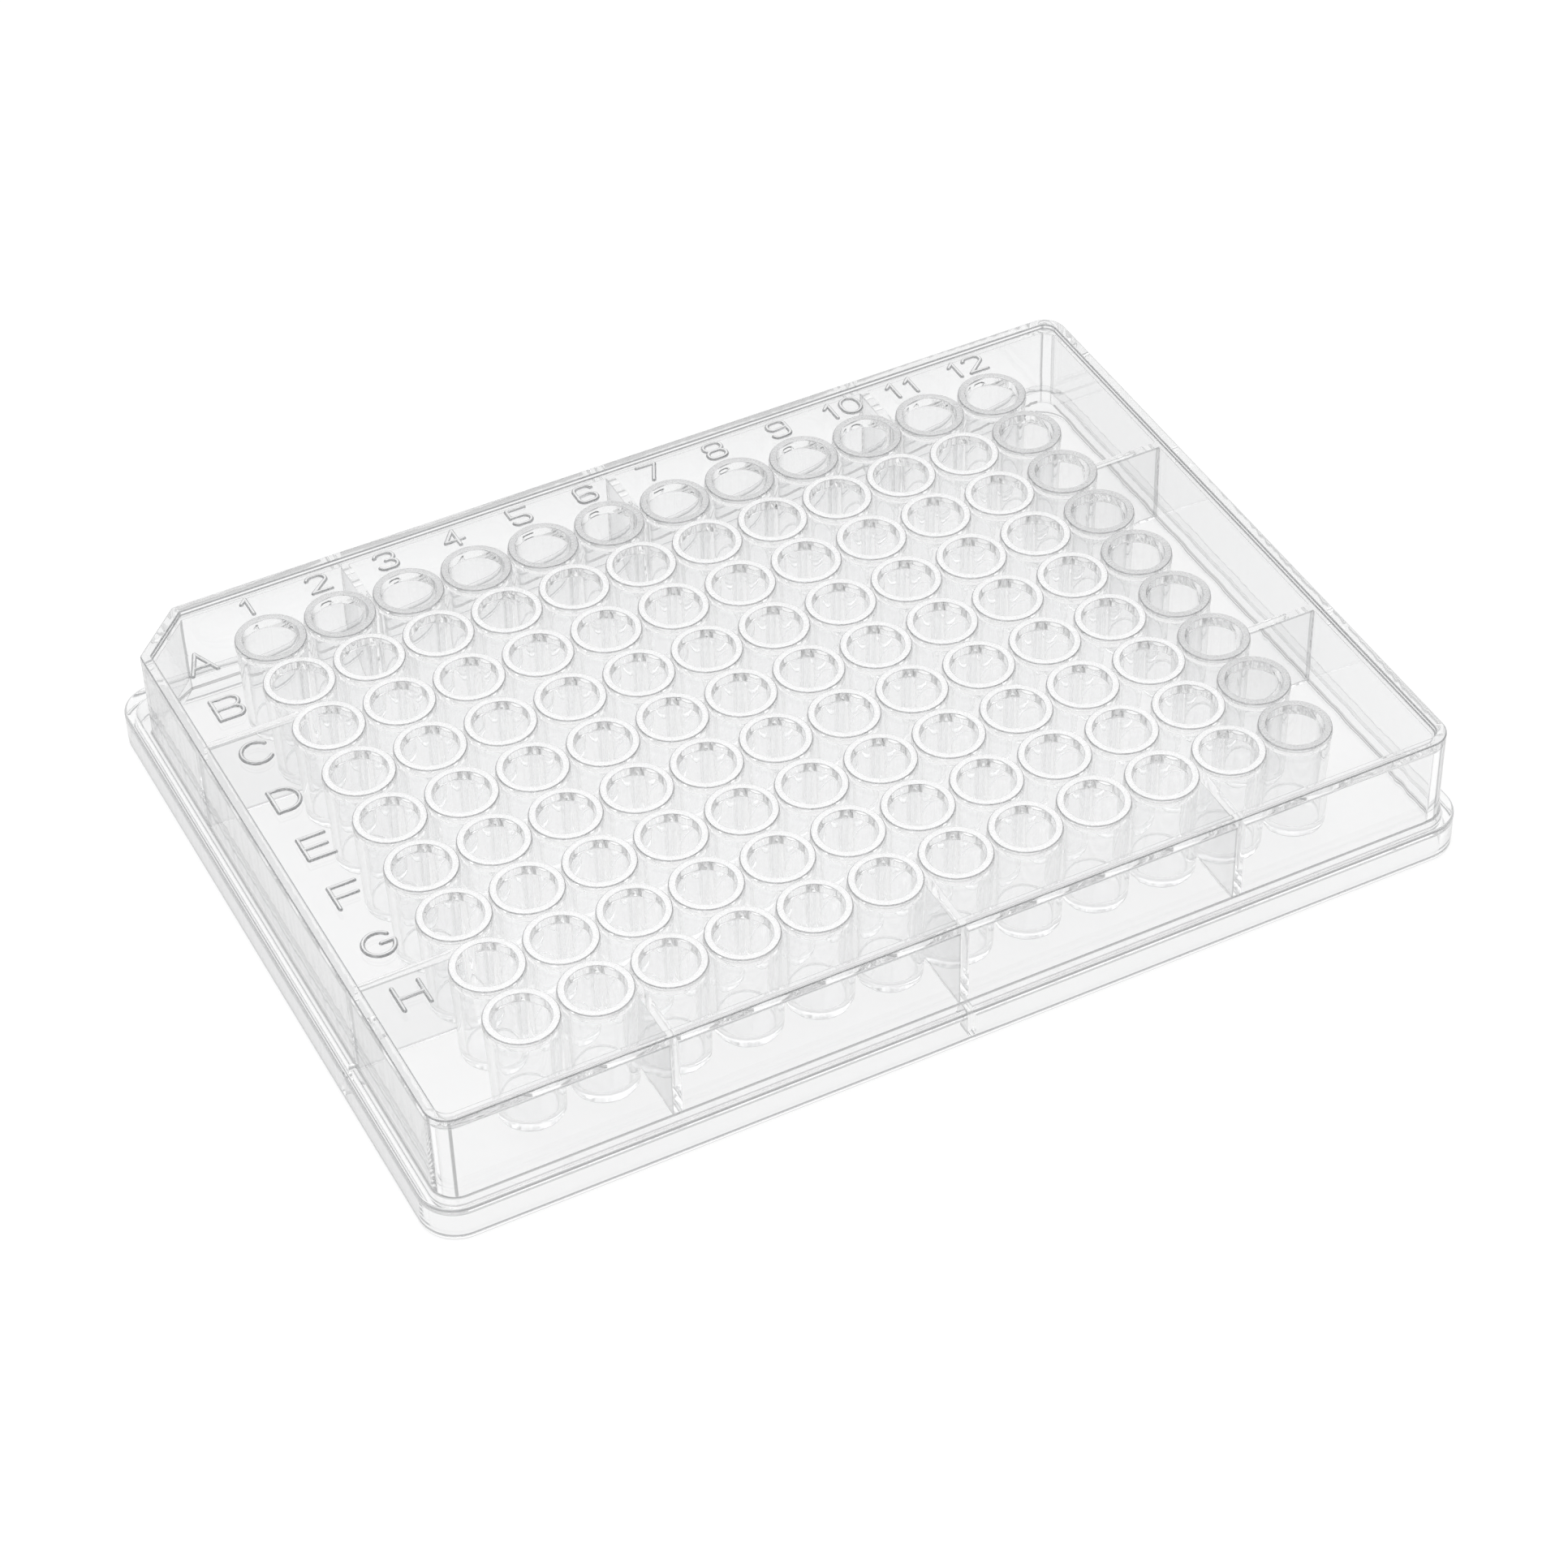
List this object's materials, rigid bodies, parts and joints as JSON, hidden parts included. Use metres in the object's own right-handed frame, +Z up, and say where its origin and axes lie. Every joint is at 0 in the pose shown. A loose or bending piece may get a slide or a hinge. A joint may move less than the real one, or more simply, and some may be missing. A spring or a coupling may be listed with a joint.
{
  "type": "well plate",
  "caption": "Clear rectangular lab plate whose open round wells hang from a thin deck inside a skirt with a stepped base, for holding many small liquid samples",
  "frame": {"origin": "on the bench, under the middle of the base", "axes": "+X runs along the numbered columns from 1 to 12, +Y runs across the rows towards row A and the numbers, +Z points up out of the wells"},
  "size_m": [0.133, 0.0972, 0.017],
  "materials": {
    "plate": "clear, polished, colourless"
  },
  "bodies": {
    "root": {"plate": "plate"}
  },
  "joints": []
}
